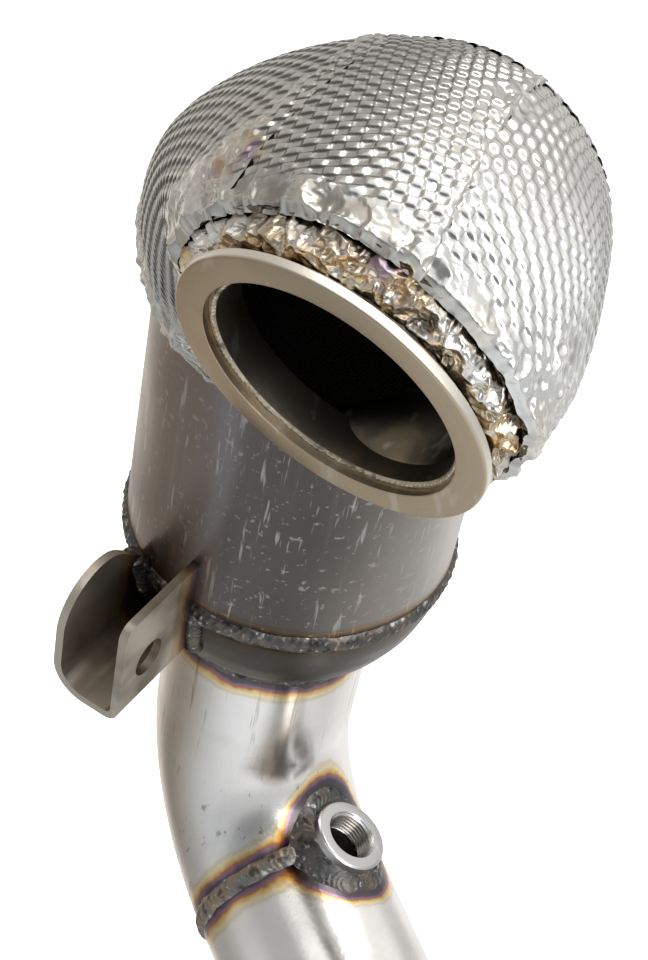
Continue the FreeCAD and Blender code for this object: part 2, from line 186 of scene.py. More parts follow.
# ---------------------------------------------------------------- materials
class Tree:
    """Short calls for the shader nodes that the materials and the world share."""

    def __init__(self, tree):
        self.nodes, self.links = tree.nodes, tree.links

    def node(self, kind, **inputs):
        n = self.nodes.new(kind)
        for key, value in inputs.items():
            socket = n.inputs[key.replace("_", " ")]
            if isinstance(value, bpy.types.NodeSocket):
                self.links.new(value, socket)
            else:
                socket.default_value = value
        return n

    def vector(self, operation, a, b):
        n = self.node("ShaderNodeVectorMath", Vector=a)
        n.operation = operation
        n.inputs[1].default_value = b
        return n.outputs

    def mapped(self, scale, rotation=(0, 0, 0)):
        return self.node("ShaderNodeMapping", Vector=self.place, Scale=scale, Rotation=rotation).outputs[0]

    def noise(self, scale, detail=3.0, source=None, distortion=0.0, rough=0.5):
        n = self.node("ShaderNodeTexNoise", Vector=source or self.place, Scale=scale, Detail=detail,
                      Distortion=distortion, Roughness=rough)
        return n.outputs["Fac"]

    def ramp(self, fac, *stops, interpolation="LINEAR"):
        n = self.node("ShaderNodeValToRGB", Fac=fac)
        n.color_ramp.interpolation = interpolation
        elements = n.color_ramp.elements
        while len(elements) > 1:
            elements.remove(elements[-1])
        for i, (at, colour) in enumerate(stops):
            e = elements[0] if i == 0 else elements.new(at)
            e.position = at
            e.color = (*colour, 1)
        return n.outputs["Color"]

    def grey(self, fac, low, high, a=0.0, b=1.0):
        n = self.node("ShaderNodeMapRange", Value=fac)
        n.inputs["From Min"].default_value = a
        n.inputs["From Max"].default_value = b
        n.inputs["To Min"].default_value = low
        n.inputs["To Max"].default_value = high
        return n.outputs[0]

    def math(self, operation, a, b=0.0):
        n = self.nodes.new("ShaderNodeMath")
        n.operation = operation
        for socket, value in zip(n.inputs, (a, b)):
            if isinstance(value, bpy.types.NodeSocket):
                self.links.new(value, socket)
            else:
                socket.default_value = value
        return n.outputs[0]

    def mix(self, fac, a, b, mode="MIX"):
        n = self.nodes.new("ShaderNodeMix")
        n.data_type = "RGBA"
        n.blend_type = mode
        for socket, value in ((n.inputs["Factor"], fac), (n.inputs[6], a), (n.inputs[7], b)):
            if isinstance(value, bpy.types.NodeSocket):
                self.links.new(value, socket)
            else:
                socket.default_value = (*value, 1) if isinstance(value, tuple) else value
        return n.outputs[2]

    def attribute(self, name):
        n = self.nodes.new("ShaderNodeAttribute")
        n.attribute_name = name
        return n.outputs["Fac"]


class Nodes(Tree):
    """The node tree of one new material."""

    def __init__(self, name, metallic, roughness, color=(0.6, 0.6, 0.6)):
        self.m = bpy.data.materials.new(name)
        self.m.use_nodes = True
        super().__init__(self.m.node_tree)
        self.shader = self.nodes["Principled BSDF"]
        self.shader.inputs["Metallic"].default_value = metallic
        self.shader.inputs["Roughness"].default_value = roughness
        self.shader.inputs["Base Color"].default_value = (*color, 1)
        self.place = self.nodes.new("ShaderNodeTexCoord").outputs["Object"]

    def bump(self, height, strength, distance):
        n = self.node("ShaderNodeBump", Height=height, Strength=strength, Distance=distance)
        self.links.new(n.outputs[0], self.shader.inputs["Normal"])

    def color(self, value):
        self.links.new(value, self.shader.inputs["Base Color"])

    def rough(self, value):
        self.links.new(value, self.shader.inputs["Roughness"])


def in_frame(point):
    """A point given in can mm, in the frame's metres."""
    return (np.asarray(point) - FACE_CENTRE) * MM


def distance_to_plane(n, point, normal):
    away = n.vector("SUBTRACT", n.place, in_frame(point))[0]
    return n.vector("DOT_PRODUCT", away, np.asarray(normal) / np.linalg.norm(normal))["Value"]


def distance_to_point(n, point):
    return n.vector("DISTANCE", n.place, in_frame(point))["Value"]


def distance_to_axis(n, point, axis):
    away = n.vector("SUBTRACT", n.place, in_frame(point))[0]
    return n.vector("LENGTH", n.vector("CROSS_PRODUCT", away, axis)[0], (0, 0, 0))["Value"]


def add_scratches(n, color_in, amount, scale, stretch, rotation=(0, 0, 0), tone=(0.9, 0.88, 0.85)):
    lines = n.noise(scale, 2.0, n.mapped(stretch, rotation), rough=0.6)
    return n.mix(n.grey(lines, 0.0, amount, 0.62, 0.70), color_in, tone)


def heat_tint(n, distance, base, width, strength):
    """Weld heat tint against distance from the bead: black-brown, purple, red-brown, gold, straw."""
    wobble = n.math("ADD", n.grey(n.noise(70.0, 3.0), -0.22, 0.22), n.grey(n.noise(260.0, 2.0), -0.07, 0.07))
    d = n.math("ADD", n.math("DIVIDE", n.math("ABSOLUTE", distance), width), wobble)
    tint = n.ramp(d, (0.0, (0.10, 0.09, 0.09)), (0.33, (0.13, 0.11, 0.13)), (0.42, (0.30, 0.20, 0.30)),
                  (0.49, (0.48, 0.22, 0.13)), (0.56, (0.82, 0.55, 0.22)), (0.68, (1.0, 0.86, 0.56)),
                  (0.80, (0.86, 0.80, 0.70)), (0.88, (1.0, 0.97, 0.90)), (1.0, (1, 1, 1)))
    return n.mix(strength, base, n.mix(1.0, base, tint, "MULTIPLY"))


# ---------------------------------------------------------------- the shield's skin
def skin_row(f):
    """Catmull-Rom interpolation of the skin's section table."""
    f = np.asarray(f, float)
    last = len(SKIN) - 1
    i = np.clip(np.floor(f * last).astype(int), 0, last - 1)
    t = (f * last - i)[..., None]
    a, b, c, d = (SKIN[np.clip(i + k, 0, last)] for k in (-1, 0, 1, 2))
    m0 = np.where((i == 0)[..., None], c - b, 0.5 * (c - a))
    m1 = np.where((i == last - 1)[..., None], c - b, 0.5 * (d - b))
    return ((2 * t**3 - 3 * t**2 + 1) * b + (t**3 - 2 * t**2 + t) * m0 + (3 * t**2 - 2 * t**3) * c
            + (t**3 - t**2) * m1)


def skin(f, phi):
    """Point on the skin at swing fraction f and section angle phi (degrees; 90 is outermost)."""
    half, inner, outer, centre, lean = np.moveaxis(skin_row(f), -1, 0)
    c, s = np.cos(np.radians(phi)), np.sin(np.radians(phi))
    across = np.sign(c) * np.abs(c) ** (2 / SKIN_POWER)
    up = np.sign(s) * np.abs(s) ** (2 / SKIN_POWER)
    rho = 0.5 * (inner + outer) + 0.5 * (outer - inner) * up
    theta = SWING * f
    return np.stack([centre + half * across + lean * up, HINGE[1] + rho * np.cos(theta),
                     HINGE[2] + rho * np.sin(theta)], -1)


def skin_normal(f, phi):
    n = np.cross(skin(f, phi + 0.3) - skin(f, phi - 0.3), skin(f + 0.003, phi) - skin(f - 0.003, phi))
    n /= np.maximum(np.linalg.norm(n, axis=-1, keepdims=True), 1e-9)
    middle = skin_row(f)
    centre = np.stack([middle[..., 3], HINGE[1] + 0.5 * (middle[..., 1] + middle[..., 2]) * np.cos(SWING * f),
                       HINGE[2] + 0.5 * (middle[..., 1] + middle[..., 2]) * np.sin(SWING * f)], -1)
    outward = np.sign(np.sum(n * (skin(f, phi) - centre), -1, keepdims=True))
    return n * np.where(outward == 0, 1, outward)


def seam_angle(f, measure, low, high):
    """Section angle where measure(point) crosses zero, by bisection."""
    lo, hi = np.full_like(f, low), np.full_like(f, high)
    sign = np.sign(measure(skin(f, lo)))
    for _ in range(26):
        mid = 0.5 * (lo + hi)
        same = np.sign(measure(skin(f, mid))) == sign
        lo, hi = np.where(same, mid, lo), np.where(same, hi, mid)
    return 0.5 * (lo + hi)


def left_seam(f):
    return seam_angle(f, lambda p: p[..., 0] + 3.0, 90.0, 175.0)


def right_seam(f):
    return seam_angle(f, lambda p: p[..., 0] + 0.2 * p[..., 1] - 40.8, 5.0, 89.0)


def emboss(a, b):
    """Pressed foil pattern: height of alternating bumps, and the grooves between them."""
    u, v = np.tanh(2.0 * np.cos(np.pi * a / EMBOSS_ACROSS)), np.tanh(2.0 * np.cos(np.pi * b / EMBOSS_DOWN))
    return u * v / 0.93, np.maximum(0.55 * (1 - np.abs(u)), 1 - np.abs(v))


def foil_panel(name, rows, cols, start, end, first_angle, last_angle, reference, overlap, lift,
               wear, keep, node, rotate=0.0, raised=None):
    """Embossed and crumpled foil over the skin between two section angles."""
    f = start + (end - start) * np.linspace(0, 1, rows)[:, None] * np.ones((1, cols))
    s = np.linspace(0, 1, cols)[None]
    lo, hi = first_angle(f[:, 0])[:, None], last_angle(f[:, 0])[:, None]
    arc = np.linalg.norm(skin(f[:, 0], hi[:, 0]) - skin(f[:, 0], lo[:, 0]), axis=-1)[:, None]
    lo = lo - overlap[0] * (hi - lo) / np.maximum(arc, 20)
    hi = hi + overlap[1] * (hi - lo) / np.maximum(arc, 20)
    phi = lo + (hi - lo) * s
    p, n = skin(f, phi), skin_normal(f, phi)
    j = int(reference * (cols - 1))
    step = np.linalg.norm(np.diff(p, axis=1, prepend=p[:, :1]), axis=-1)
    a = np.cumsum(step, 1)
    from_first, from_last = a, a[:, -1:] - a
    a = a - a[:, j:j + 1]
    down = np.linalg.norm(np.diff(p, axis=0, prepend=p[:1]), axis=-1)
    b = np.cumsum(down[:, j])[:, None] * np.ones((1, cols))
    squeeze = down / np.maximum(down[:, j:j + 1], 1e-6)
    if rotate:
        a, b = a * math.cos(rotate) - b * math.sin(rotate), a * math.sin(rotate) + b * math.cos(rotate)
    drift = noise(p, 34.0, 3)
    a = a + 2.4 * drift + 0.5 * noise(p, 9.0, 8)
    b = b + 2.4 * noise(p, 31.0, 4) + 0.4 * noise(p, 8.0, 9)
    w = np.clip(wear(f, phi, p, from_first, from_last), 0, 1)
    w = np.maximum(w, 1 - smooth(squeeze, 0.25, 0.6))
    w = np.clip(w + 0.35 * w * noise(p, 9.0, 12), 0, 1)
    bumps, between = emboss(a, b)
    # mask of painted shade in the grooves between the bumps, fading on worn foil and weaker towards +x
    groove_shade = between * (1 - w) * (1 - 0.55 * smooth(p[..., 0], 18.0, 46.0))
    height = 0.46 * bumps * (1 - 0.93 * w) * (1 + 0.25 * noise(p, 14.0, 2))
    crumple = (1.9 * (creases(p, 8.5, 1) - 0.55) + 1.0 * (creases(p, 3.8, 2) - 0.55)
               + 0.3 * (creases(p, 1.7, 4) - 0.55))
    folds = 0.9 * noise(np.stack([a / 1.0, b / 4.5, 0 * a], -1), 4.2, 6)
    height = height + w * (crumple + folds) + 0.5 * noise(p, 18.0, 10) * (0.5 + w)
    height = height + 0.16 * noise(p, 1.5, 13) * (0.35 + w)
    near_edge = np.minimum(from_first if lift[0] else 99, from_last if lift[1] else 99)
    if lift[0] or lift[1]:
        height = height + 0.75 * (1 - smooth(near_edge, 3.0, 9.0)) - 0.9 * (1 - smooth(near_edge, 0.0, 0.9))
    for side, distance in ((0, from_first), (1, from_last)):
        if overlap[side] and not lift[side]:        # this edge is tucked under its neighbour
            height = height * (0.2 + 0.8 * smooth(distance, 4.0, 7.5))
    if raised:
        height = height + raised(p)
    height = 0.25 + np.where(height < 0, 0.9 * np.tanh(height / 0.9), height)
    q = p + n * np.minimum(height, 2.0)[..., None]
    # the lip rolls back under itself before the collar
    roll = smooth(f, end - 0.012, end) if end > 0.9 else 0 * f
    into_hub = NECK_HUB - p
    into_hub /= np.linalg.norm(into_hub, axis=-1, keepdims=True)
    q = q + (roll * 2.6)[..., None] * into_hub
    faces = grid_faces(rows, cols)
    faces = faces[keep(p).reshape(-1)[faces].all(1)]
    normal = np.cross(q[1, 0] - q[0, 0], q[0, 1] - q[0, 0])
    if np.dot(normal, n[0, 0]) < 0:
        faces = faces[:, ::-1]
    used = np.zeros(rows * cols, bool)
    used[faces.reshape(-1)] = True
    index = np.cumsum(used) - 1
    obj = mesh(name, q.reshape(-1, 3)[used], index[faces], 180)
    tag(obj, "crumple", w.reshape(-1)[used])
    tag(obj, "height", height.reshape(-1)[used])
    tag(obj, "groove_shade", groove_shade.reshape(-1)[used])
    finish_piece(obj, FOIL, node)


def tag(obj, name, values):
    attribute = obj.data.attributes.new(name, "FLOAT", "POINT")
    attribute.data.foreach_set("value", np.asarray(values, np.float32))


def spot(p, centre, radius):
    return 1 - smooth(np.linalg.norm(p - np.asarray(centre), axis=-1), radius * 0.35, radius)


LEFT_SPOT = skin(np.array(0.86), np.array(139.0))
RIGHT_SPOT = skin(np.array(0.61), np.array(78.0))
STREAKS = skin(np.array(0.84), np.array(18.0))


def lip_wear(f, p):
    return smooth(f + 0.02 * noise(p, 12.0, 15), LIP_AT - 0.075, LIP_AT - 0.03)


def seam_wear(distance, reach=5.0):
    return 1 - smooth(distance, 1.0, reach)


def wear_centre(f, phi, p, first, last):
    return np.maximum.reduce([lip_wear(f, p), 0.75 * seam_wear(first, 4.0), 0.8 * seam_wear(last, 5.0),
                              0.9 * spot(p, RIGHT_SPOT, 9.0)])


def wear_left(f, phi, p, first, last):
    below = smooth(f, 0.80, 0.88) * (1 - smooth(phi, 165.0, 195.0))
    hem = 1 - smooth(f, 0.02, 0.08)
    return np.maximum.reduce([lip_wear(f, p), 0.9 * seam_wear(first, 7.0), spot(p, LEFT_SPOT, 16.0), below,
                              0.8 * hem, smooth(phi, 225.0, 245.0)])


def wear_right(f, phi, p, first, last):
    hem = 1 - smooth(f, 0.02, 0.08)
    return np.maximum.reduce([lip_wear(f, p), 0.9 * seam_wear(last, 6.0), 0.85 * spot(p, STREAKS, 15.0),
                              spot(p, RIGHT_SPOT, 10.0), 0.8 * hem, 1 - smooth(phi, -75.0, -50.0)])


def wear_rear(f, phi, p, first, last):
    return np.maximum(1 - smooth(f, 0.02, 0.07), 0.85 * seam_wear(first, 3.0))


# ---------------------------------------------------------------- welds
def weld_ring(name, node, radius, base, axis, width, height, pitch, segments, seed, regular=1.0, gap=None,
              material=None):
    """A TIG bead round a tube: overlapping crescent ripples with a wandering edge."""
    t = np.linspace(-1, 1, 17)[None]
    a = np.linspace(0, 2 * np.pi, segments, endpoint=False)[:, None]
    side, up, along = frame_of(axis)
    ring = np.cos(a)[..., None] * side + np.sin(a)[..., None] * up
    at = np.asarray(base) + ring * radius
    half = 0.5 * width * (1 + 0.22 * noise(at, 7.0, seed) + 0.12 * noise(at, 2.6, seed + 1))
    offset = 0.35 * noise(at, 11.0, seed + 2)
    phase = (a * radius + 0.9 * pitch * t**2 + 0.25 * pitch * noise(at, 4.0, seed + 3)) / pitch
    crescent = np.abs(2 * (phase - np.floor(phase)) - 1) ** 1.4
    body = (1 - np.abs(t) ** 2.4) * (1 + 0.25 * noise(at, 5.0, seed + 4))
    grain = noise(at + along * (t * half)[..., None], 1.3, seed + 5)
    h = height * body * (0.80 + 0.34 * regular * (crescent - 0.1) + 0.14 * grain) - 0.5 * np.abs(t) ** 6
    p = at + ring * h[..., None] + along * (t * half + offset)[..., None]
    faces = grid_faces(segments, 17, True)
    if gap:
        near = np.linalg.norm(p.reshape(-1, 3) - gap[0], axis=1) < gap[1]
        faces = faces[~near[faces].any(1)]
    finish_piece(mesh(name, p, faces, 60), material or WELD_DARK, node)


def weld_run(name, path, out, radius, seed):
    """A rippled bead laid along an open path; out points away from the metal at each point."""
    pitch, around = 1.9, 20
    length = np.concatenate([[0], np.cumsum(np.linalg.norm(np.diff(path, axis=0), axis=1))])
    n = max(int(length[-1] / 0.35), 12)
    s = np.linspace(0, length[-1], n)
    p = np.stack([np.interp(s, length, path[:, k]) for k in range(3)], 1)
    o = np.stack([np.interp(s, length, out[:, k]) for k in range(3)], 1)
    o /= np.linalg.norm(o, axis=1, keepdims=True)
    tangent = np.gradient(p, axis=0)
    tangent /= np.linalg.norm(tangent, axis=1, keepdims=True)
    side = np.cross(tangent, o)
    cap = np.sqrt(np.clip(1 - (2 * np.linspace(0, 1, n) - 1) ** 8, 0.02, 1))
    a = np.linspace(0, 2 * np.pi, around, endpoint=False)[None]
    wave = s[:, None] / pitch + 0.35 * np.sin(a) ** 2
    ripple = 0.86 + 0.22 * np.abs(2 * (wave - np.floor(wave)) - 1) ** 1.3
    lump = 1 + 0.16 * noise(p, 4.5, seed)[:, None]
    r = radius * cap[:, None] * ripple * lump
    q = p[:, None] + r[..., None] * (np.cos(a)[..., None] * side[:, None] + np.sin(a)[..., None] * o[:, None])
    faces = grid_faces(n, around, False, True)
    return mesh(name, q, faces, 60)


# ---------------------------------------------------------------- materials of the object
def steel(name, base, roughness, tone=(0.10, 0.10, 0.10), scratch=0.3, stretch=(1, 1, 0.06), grain=0.02):
    """Handled stainless: uneven finish, faint drawn lines and scratches."""
    n = Nodes(name, 1.0, roughness)
    patches = n.noise(16.0, 4.0)
    colour = n.mix(n.grey(patches, 0.0, 1.0, 0.35, 0.7), base, tuple(c * 0.82 for c in base))
    colour = n.mix(n.grey(n.noise(55.0, 3.0), 0.0, 0.35, 0.5, 0.75), colour, tone)
    colour = add_scratches(n, colour, scratch, 110.0, stretch)
    fine = n.noise(700.0, 2.0, n.mapped(stretch))
    n.rough(n.grey(n.math("ADD", n.noise(30.0, 4.0), n.math("MULTIPLY", fine, 0.25)),
                   roughness - 0.09, roughness + 0.12, 0.4, 0.9))
    n.bump(n.math("ADD", fine, n.math("MULTIPLY", n.noise(180.0, 2.0), 0.5)), grain * 4, 0.0004)
    n.colour = colour
    return n


def tinted(n, colour, *bands):
    """Adds weld heat tint for each (point, direction, half width in metres, strength) band."""
    for point, direction, width, strength in bands:
        if direction is None:
            reach = n.math("SUBTRACT", distance_to_axis(n, point, BUNG_AXIS), 0.0185)
        else:
            reach = distance_to_plane(n, point, direction)
        colour = heat_tint(n, reach, colour, width, strength)
    n.color(colour)
    return n.m


def foil_material():
    n = Nodes("foil", 1.0, 0.22)
    crumple, height = n.attribute("crumple"), n.attribute("height")
    base = n.mix(n.grey(n.noise(22.0, 3.0), 0.0, 1.0, 0.35, 0.7), (0.78, 0.78, 0.76), (0.60, 0.60, 0.585))
    # painted shade: the foil is darkened where its height is low, in the hollows and creases
    hollow_shade = n.grey(height, 0.75, 0.0, -0.55, -0.05)
    base = n.mix(hollow_shade, base, (0.34, 0.33, 0.32))
    # painted shade in the grooves between the pressed bumps
    base = n.mix(n.grey(n.attribute("groove_shade"), 0.0, 0.9, 0.15, 0.6), base, (0.13, 0.125, 0.12))
    # painted light and shade: vertical bands across the foil by x, darker in the middle and brighter than
    # white at the right edge
    side = n.node("ShaderNodeSeparateXYZ", Vector=n.place).outputs[0]
    shade = n.ramp(n.grey(side, 0.0, 1.0, -0.1, 0.055), (0.0, (1, 1, 0.98)), (0.25, (0.86, 0.86, 0.83)),
                   (0.55, (0.74, 0.74, 0.72)), (0.78, (0.95, 0.95, 0.94)), (1.0, (1.15, 1.16, 1.18)))
    base = n.mix(1.0, base, shade, "MULTIPLY")
    warm = n.math("MULTIPLY", n.grey(crumple, 0.0, 0.45, 0.3, 1.0),
                  n.grey(n.noise(60.0, 3.0), 0.0, 1.0, 0.45, 0.65))
    base = n.mix(warm, base, (0.78, 0.70, 0.58))
    near = n.grey(distance_to_point(n, LEFT_SPOT), 0.9, 0.0, 0.003, 0.014)
    spots = n.math("MULTIPLY", near, n.grey(n.noise(150.0, 2.0), 0.0, 1.0, 0.42, 0.58))
    tint = n.ramp(n.noise(120.0, 1.0), (0.35, (0.34, 0.22, 0.34)), (0.5, (0.52, 0.34, 0.16)),
                  (0.65, (0.70, 0.62, 0.50)))
    n.color(n.mix(spots, base, tint))
    n.rough(n.grey(n.noise(45.0, 3.0), 0.16, 0.32))
    n.bump(n.noise(900.0, 2.0), 0.12, 0.0003)
    return n.m


def collar_material():
    n = Nodes("collar_foil", 1.0, 0.24)
    base = n.mix(n.grey(n.noise(38.0, 3.0), 0.0, 1.0, 0.50, 0.66), (0.84, 0.83, 0.80), (0.50, 0.40, 0.27))
    tint = n.ramp(n.noise(85.0, 2.0), (0.36, (0.26, 0.20, 0.30)), (0.46, (0.50, 0.34, 0.18)),
                  (0.56, (0.78, 0.62, 0.38)), (0.66, (0.80, 0.78, 0.74)))
    base = n.mix(n.grey(n.noise(50.0, 2.0), 0.0, 0.9, 0.50, 0.62), base, tint)
    # painted shade in the trench just under the foil's lip
    base = n.mix(n.grey(n.attribute("trench_shade"), 0.0, 0.9, 0.15, 0.8), base, (0.12, 0.085, 0.05))
    # painted shade in the low hollows of the crumples
    base = n.mix(n.grey(n.attribute("height"), 0.8, 0.0, -1.2, 0.1), base, (0.09, 0.07, 0.05))
    n.color(base)
    n.rough(n.grey(n.noise(60.0, 3.0), 0.16, 0.34))
    n.bump(n.noise(700.0, 2.0), 0.15, 0.0003)
    return n.m


def weld_material(name, base=(0.20, 0.20, 0.20), light=(0.55, 0.54, 0.52), warm=(0.32, 0.26, 0.20)):
    n = Nodes(name, 1.0, 0.42)
    colour = n.mix(n.grey(n.noise(120.0, 3.0), 0.0, 1.0, 0.4, 0.65), base, warm)
    colour = n.mix(n.grey(n.noise(420.0, 2.0), 0.0, 0.9, 0.60, 0.70), colour, light)
    colour = n.mix(n.grey(n.noise(260.0, 2.0), 0.0, 0.85, 0.56, 0.68), colour, tuple(c * 0.3 for c in base))
    n.color(colour)
    n.rough(n.grey(n.noise(200.0, 3.0), 0.28, 0.6))
    n.bump(n.noise(500.0, 3.0), 0.5, 0.0005)
    return n.m


def brushed_flange():
    """Turned face with a straw tint, browner to the left; a painted pale highlight lies on the rim."""
    n = Nodes("flange_face", 1.0, 0.36)
    sep = n.node("ShaderNodeSeparateXYZ", Vector=n.place)
    side = n.grey(sep.outputs[0], 0.0, 1.0, -0.047, 0.047)
    base = n.ramp(side, (0.0, (0.44, 0.33, 0.21)), (0.45, (0.42, 0.345, 0.24)), (1.0, (0.58, 0.49, 0.35)))
    radius = distance_to_point(n, FACE_CENTRE)
    rings = n.node("ShaderNodeCombineXYZ", X=radius)
    lines = n.noise(1500.0, 2.0, rings.outputs[0])
    base = n.mix(n.grey(lines, 0.0, 0.3, 0.45, 0.7), base, (0.36, 0.30, 0.23))
    base = n.mix(n.grey(n.noise(30.0, 3.0), 0.0, 0.5, 0.45, 0.7), base, (0.60, 0.47, 0.33))
    # painted highlight: a pale cream band round the rim's outer edge
    depth = distance_to_plane(n, FACE_CENTRE, INTO)
    rim = n.math("MULTIPLY", n.grey(radius, 0.0, 1.0, 0.0458, 0.0466),
                 n.grey(depth, 0.0, 1.0, 0.0002, 0.0009))
    base = n.mix(rim, base, (0.80, 0.76, 0.68))
    n.color(add_scratches(n, base, 0.25, 160.0, (1, 0.2, 0.2)))
    n.rough(n.grey(n.noise(40.0, 4.0), 0.30, 0.44))
    n.bump(n.math("ADD", lines, n.noise(900.0, 2.0)), 0.10, 0.0003)
    return n.m


def smoked(name, base, dark):
    """Inside of the dome: smoky, with painted straw reflections in random patches."""
    n = Nodes(name, 1.0, 0.38)
    colour = n.mix(n.grey(n.noise(14.0, 4.0), 0.0, 1.0, 0.35, 0.65), base, dark)
    # painted reflection: straw patches at random over the dark interior
    colour = n.mix(n.grey(n.noise(45.0, 3.0), 0.0, 0.7, 0.5, 0.72), colour, (0.46, 0.36, 0.22))
    n.color(add_scratches(n, colour, 0.3, 140.0, (1, 1, 0.1)))
    n.rough(n.grey(n.noise(60.0, 3.0), 0.28, 0.5))
    n.bump(n.noise(400.0, 3.0), 0.15, 0.0003)
    return n.m


def fibre_material():
    n = Nodes("mat_fibre", 0.0, 0.9, (0.82, 0.80, 0.74))
    fibres = n.noise(420.0, 4.0, n.mapped((1, 0.15, 1)), 1.2)
    n.color(n.mix(n.grey(fibres, 0.0, 1.0, 0.35, 0.65), (0.84, 0.82, 0.77), (0.58, 0.55, 0.49)))
    n.bump(fibres, 0.8, 0.0008)
    return n.m


def brick_material():
    """Catalyst foil: square cells seen end on, the open cells painted dark as the shade inside them, the
    walls with a pale wash coat.
    """
    n = Nodes("brick_cells", 0.3, 0.6)
    cell = 0.00127
    sep = n.node("ShaderNodeSeparateXYZ", Vector=n.place)
    walls = []
    for axis in (0, 1):
        wave = n.math("FRACT", n.math("DIVIDE", sep.outputs[axis], cell))
        walls.append(n.grey(n.math("ABSOLUTE", n.math("SUBTRACT", wave, 0.5)), 0.0, 1.0, 0.30, 0.40))
    wall = n.math("MAXIMUM", walls[0], walls[1])
    # painted shade: the open cells are near black, the walls between them paler
    n.color(n.mix(wall, (0.045, 0.040, 0.034), (0.14, 0.12, 0.10)))
    n.rough(n.grey(n.noise(90.0, 2.0), 0.5, 0.75))
    n.bump(wall, 0.8, 0.0008)
    return n.m


FOIL = foil_material()
COLLAR = collar_material()
FLANGE = brushed_flange()
WELD_DARK = weld_material("weld_dark", (0.10, 0.10, 0.10), (0.50, 0.49, 0.47), (0.17, 0.145, 0.12))
WELD_BRIGHT = weld_material("weld_bright", (0.62, 0.56, 0.44), (0.92, 0.88, 0.78), (0.42, 0.36, 0.27))
WELD_PIPE = weld_material("weld_pipe", (0.24, 0.23, 0.22), (0.60, 0.58, 0.54), (0.36, 0.27, 0.18))
SMOKED = smoked("dome_smoked", (0.15, 0.14, 0.12), (0.07, 0.066, 0.058))
NECK = smoked("neck_smoked", (0.34, 0.31, 0.26), (0.20, 0.18, 0.15))
FIBRE = fibre_material()
BRICK = brick_material()


def painted_side_light(n, colour, half_width, *stops):
    """Painted light and shade round a vertical tube, from its left edge (-1) to its right (1): bands of
    painted reflection and shade.
    """
    across = n.math("DIVIDE", distance_to_plane(n, (0, 0, 0), (0.911, 0.411, 0)), half_width * MM)
    across = n.math("ADD", across, n.grey(n.noise(26.0, 3.0, n.mapped((1, 1, 0.35))), -0.10, 0.10))
    shade = n.ramp(n.grey(across, 0.0, 1.0, -1.0, 1.0), *[((x + 1) / 2, c) for x, c in stops],
                   interpolation="B_SPLINE")
    return n.mix(1.0, colour, shade, "MULTIPLY")


can = steel("can_satin", (0.62, 0.60, 0.585), 0.34, (0.50, 0.46, 0.43), 0.22)
# painted reflections and shade round the can: light bands at the left, dark middle, bright right side
colour = painted_side_light(can, can.colour, CAN_R, (-1.0, (0.42, 0.36, 0.31)), (-0.72, (0.62, 0.52, 0.45)),
                (-0.50, (0.44, 0.38, 0.35)), (-0.40, (0.54, 0.53, 0.55)), (-0.30, (0.26, 0.24, 0.235)),
                (0.0, (0.18, 0.165, 0.155)), (0.30, (0.19, 0.18, 0.17)), (0.55, (0.55, 0.53, 0.51)),
                (0.80, (0.80, 0.78, 0.76)), (1.0, (0.95, 0.94, 0.92)))
colour = add_scratches(can, colour, 0.40, 520.0, (1, 1, 0.10), (0.9, 0.5, 0.2), (0.70, 0.68, 0.65))
colour = add_scratches(can, colour, 0.30, 430.0, (1, 0.12, 1), (0.4, 0.9, 0.3), (0.66, 0.64, 0.61))
CAN = tinted(can, colour, ((0, 0, -1.6), (0, 0, 1), 0.0085, 0.85))
cone = steel("cone_satin", (0.20, 0.19, 0.18), 0.38, (0.10, 0.095, 0.09), 0.25)
# painted reflections and shade across the cone, brightest at the right
cone_colour = painted_side_light(cone, cone.colour, CAN_R, (-1.0, (0.6, 0.5, 0.4)), (0.0, (0.35, 0.33, 0.31)),
                     (0.35, (0.45, 0.43, 0.42)), (0.75, (1.0, 0.98, 0.96)), (1.0, (1.0, 1.0, 1.0)))
CONE = tinted(cone, cone_colour, ((0, 0, 0), (0, 0, 1), 0.010, 0.8))
pipe = steel("pipe_polished", (0.93, 0.92, 0.90), 0.24, (0.66, 0.63, 0.58), 0.3)
# painted reflections and shade across the pipe: warm dark left edge, white from the middle to the right
pipe_colour = painted_side_light(pipe, pipe.colour, PIPE_R, (-1.0, (0.60, 0.53, 0.45)), (-0.65, (0.74, 0.68, 0.60)),
                     (-0.40, (0.90, 0.87, 0.83)), (-0.15, (1, 1, 1)), (1.0, (1, 1, 1)))
dark_lines = pipe.grey(pipe.noise(330.0, 3.0, pipe.mapped((1, 1, 0.05)), rough=0.7), 0.0, 0.55, 0.62, 0.70)
pipe_colour = pipe.mix(dark_lines, pipe_colour, (0.16, 0.14, 0.12))
PIPE = tinted(pipe, pipe_colour, ((0, 0, -CONE_DROP), (0, 0, 1), 0.014, 1.0), (JOINT, TAIL, 0.0125, 1.0),
              (BUNG_FOOT, None, 0.0085, 1.0))
lower = steel("pipe_lower", (0.93, 0.92, 0.90), 0.22, (0.66, 0.63, 0.58), 0.3)
LOWER = tinted(lower, lower.colour, (JOINT, TAIL, 0.0125, 1.0), (BUNG_FOOT, None, 0.0085, 1.0))
bung = steel("bung_turned", (0.62, 0.62, 0.62), 0.26, (0.5, 0.48, 0.46), 0.3)
